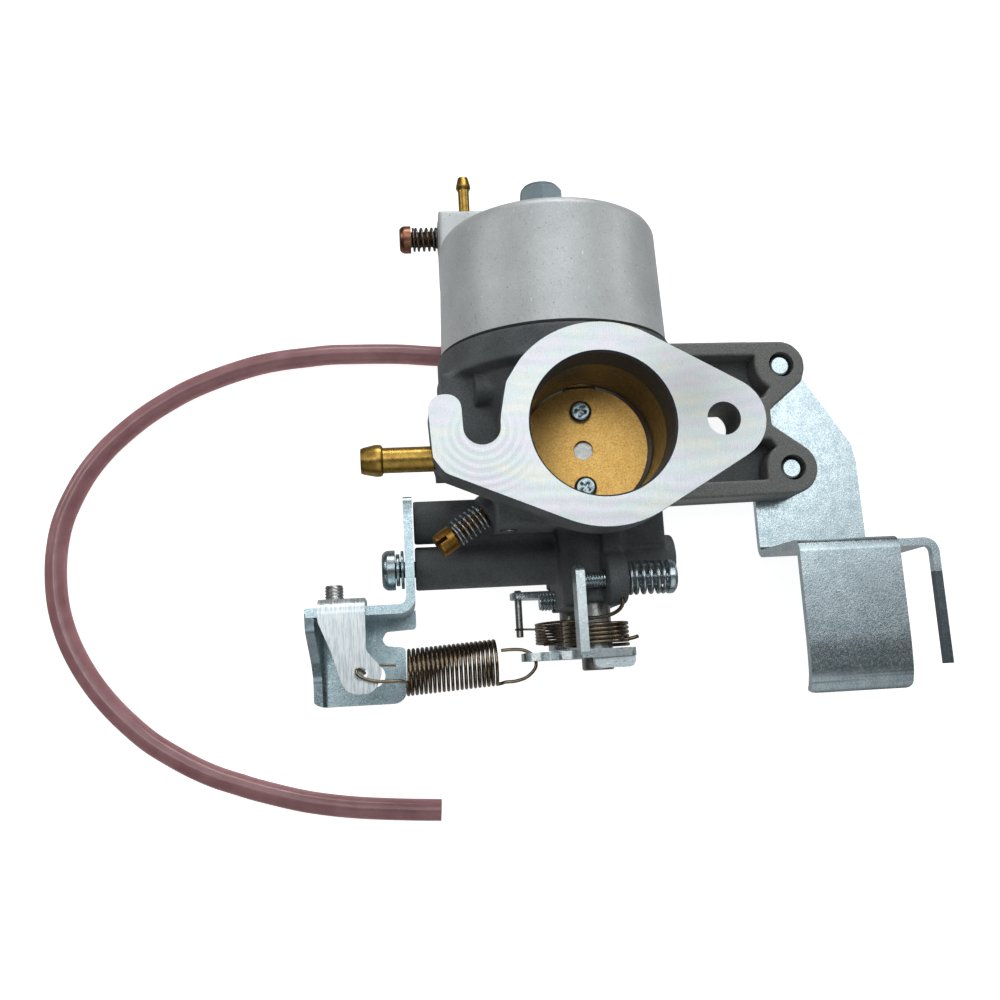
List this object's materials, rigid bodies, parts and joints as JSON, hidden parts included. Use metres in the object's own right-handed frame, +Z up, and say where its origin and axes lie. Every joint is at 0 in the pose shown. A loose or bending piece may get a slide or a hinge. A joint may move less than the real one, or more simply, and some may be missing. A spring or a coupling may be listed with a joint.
{
  "type": "side-draught carburetor",
  "caption": "Single-barrel side-draught carburetor with float bowl, throttle and choke valves, control brackets, springs and a vent hose.",
  "frame": {"origin": "On the surface the part lies on, below the middle of its box, the vent hose left out.", "axes": "+Z is up and is the outward normal of the engine flange, +Y points to the float bowl, +X to the cable bracket."},
  "size_m": [0.2579, 0.1845, 0.078],
  "materials": {
    "cast_body": "dark grey die casting with a fine sandy skin, bright on machined faces",
    "bowl": "light grey blasted casting",
    "gasket": "black sealing sheet",
    "zinc_steel": "clear bluish zinc plating on sheet steel",
    "bright_steel": "turned steel",
    "spring_wire": "oiled bronze-brown spring wire",
    "brass": "turned brass",
    "valve_plate": "stamped plate with a golden finish",
    "copper": "copper-coloured plating",
    "float": "moulded black plastic",
    "hose": "clear pink vinyl tube"
  },
  "bodies": {
    "root": {"carb_body": "cast_body", "float_bowl": "bowl", "bowl_gasket": "gasket", "bowl_bolt": "zinc_steel", "bowl_bolt_washer": "copper", "float_pin": "bright_steel", "needle_seat": "brass", "main_jet": "brass", "main_nozzle": "brass", "pilot_jet": "brass", "fuel_inlet_nipple": "brass", "vent_nipple": "brass", "vent_hose": "hose", "drain_nipple": "brass", "drain_spring": "bright_steel", "pilot_screw_spring": "zinc_steel", "passage_plug_screw": "bright_steel", "throttle_return_spring": "spring_wire", "governor_spring": "spring_wire", "idle_stop_spring": "zinc_steel", "housing_stud": "zinc_steel", "choke_return_spring": "spring_wire", "spring_anchor_bracket": "zinc_steel", "bracket_screw": "zinc_steel", "bracket_lock_washer": "zinc_steel", "bracket_washer": "zinc_steel", "adjuster_lever": "zinc_steel", "adjuster_bolt": "bright_steel", "cable_bracket": "zinc_steel", "cable_bracket_screw_1": "zinc_steel", "cable_bracket_screw_2": "zinc_steel"},
    "throttle": {"throttle_shaft": "bright_steel", "throttle_valve": "valve_plate", "throttle_valve_screw_1": "bright_steel", "throttle_valve_screw_2": "bright_steel", "throttle_lever": "zinc_steel"},
    "choke": {"choke_shaft": "bright_steel", "choke_valve": "valve_plate", "choke_valve_screw_1": "bright_steel", "choke_valve_screw_2": "bright_steel", "choke_lever": "zinc_steel", "choke_link_pin": "bright_steel", "choke_retainer": "zinc_steel"},
    "float_arm": {"float": "float"},
    "needle": {"needle_valve": "bright_steel"},
    "idle_stop": {"idle_stop_screw": "zinc_steel"},
    "pilot": {"pilot_screw": "brass"},
    "drain": {"drain_screw": "copper"}
  },
  "joints": [
    {"name": "throttle_turn", "type": "hinge", "parent": "root", "child": "throttle", "pos_m": [-0.0176, -0.01175, 0.048], "axis": [0, -1, 0], "range_deg": [0, 75], "deforming": ["governor_spring"]},
    {"name": "choke_turn", "type": "hinge", "parent": "root", "child": "choke", "pos_m": [-0.0191, -0.01175, 0.017], "axis": [0, -1, 0], "range_deg": [0, 75]},
    {"name": "float_swing", "type": "hinge", "parent": "root", "child": "float_arm", "pos_m": [-0.0226, 0.02175, 0.063], "axis": [1, 0, 0], "range_deg": [0, 8]},
    {"name": "needle_slide", "type": "slide", "parent": "root", "child": "needle", "axis": [0, 1, 0], "range_m": [0, 0.0013]},
    {"name": "idle_stop_turn", "type": "hinge", "parent": "root", "child": "idle_stop", "pos_m": [-0.0176, -0.04625, 0.058], "axis": [1, 0, 0], "range_deg": [-180, 180]},
    {"name": "pilot_turn", "type": "hinge", "parent": "root", "child": "pilot", "pos_m": [-0.0448, -0.02855, 0.0545], "axis": [0.8387, 0.5446, 0], "range_deg": [-180, 180]},
    {"name": "drain_turn", "type": "hinge", "parent": "root", "child": "drain", "pos_m": [-0.0596, 0.05835, 0.024], "axis": [1, 0, 0], "range_deg": [-180, 180]}
  ],
  "couplings": [
    {"joint": "needle_slide", "follows": "float_swing", "m_per_rad": 0.008}
  ]
}
